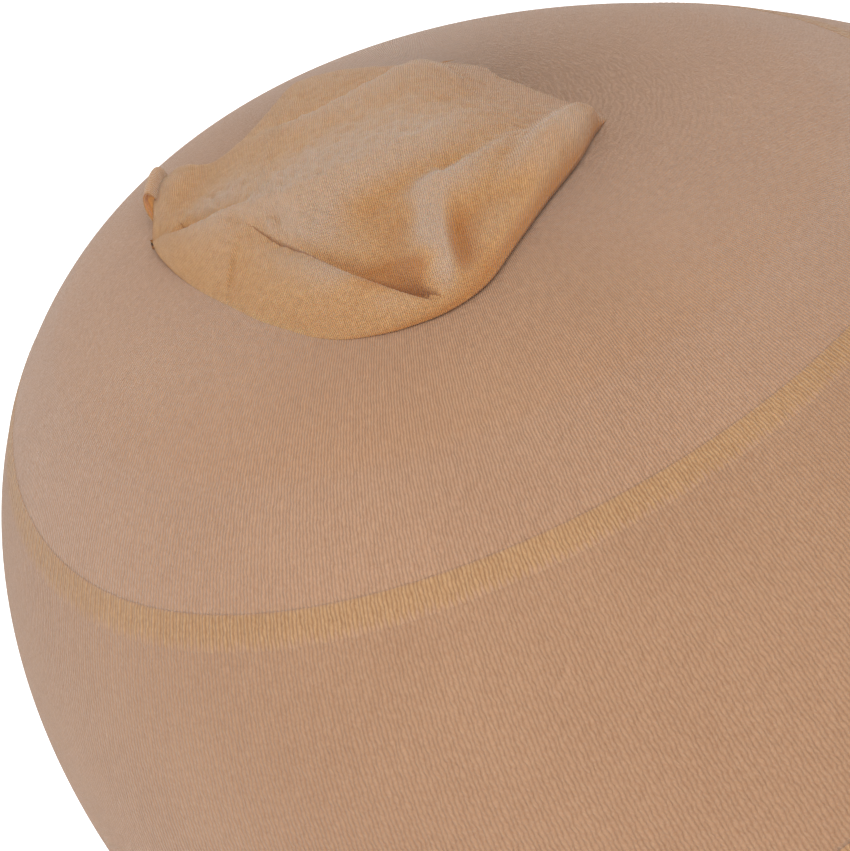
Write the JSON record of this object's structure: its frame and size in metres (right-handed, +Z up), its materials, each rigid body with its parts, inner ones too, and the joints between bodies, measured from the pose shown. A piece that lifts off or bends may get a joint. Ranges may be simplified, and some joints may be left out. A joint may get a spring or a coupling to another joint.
{
  "type": "stocking wig cap with its closed toe left loose",
  "caption": "Knitted stocking cap for under a wig, stretched as worn, with ribbed lines round it and a loose folded toe on the crown.",
  "frame": {"origin": "middle of the hollow that the cap is stretched around, where a head sits", "axes": "+Z up with the head upright, -Y towards the face side, +X towards the wearer's left"},
  "size_m": [0.156, 0.1654, 0.1265],
  "materials": {
    "crown_knit": "fine plain knit, matt with a faint fuzz",
    "ribbed_knit": "raised ribbed knit, matt",
    "band_knit": "fine plain knit, matt",
    "welt_knit": "double knit turned at the rim, matt",
    "toe_knit": "slack knit, rough with fine pilling",
    "seam_knit": "rolled seam end, soft"
  },
  "bodies": {
    "root": {"crown": "crown_knit", "upper_ribbed_line": "ribbed_knit", "middle_band": "band_knit", "lower_ribbed_line": "ribbed_knit", "rim_welt": "welt_knit", "toe_pouch": "toe_knit", "seam_roll": "seam_knit"}
  },
  "joints": []
}
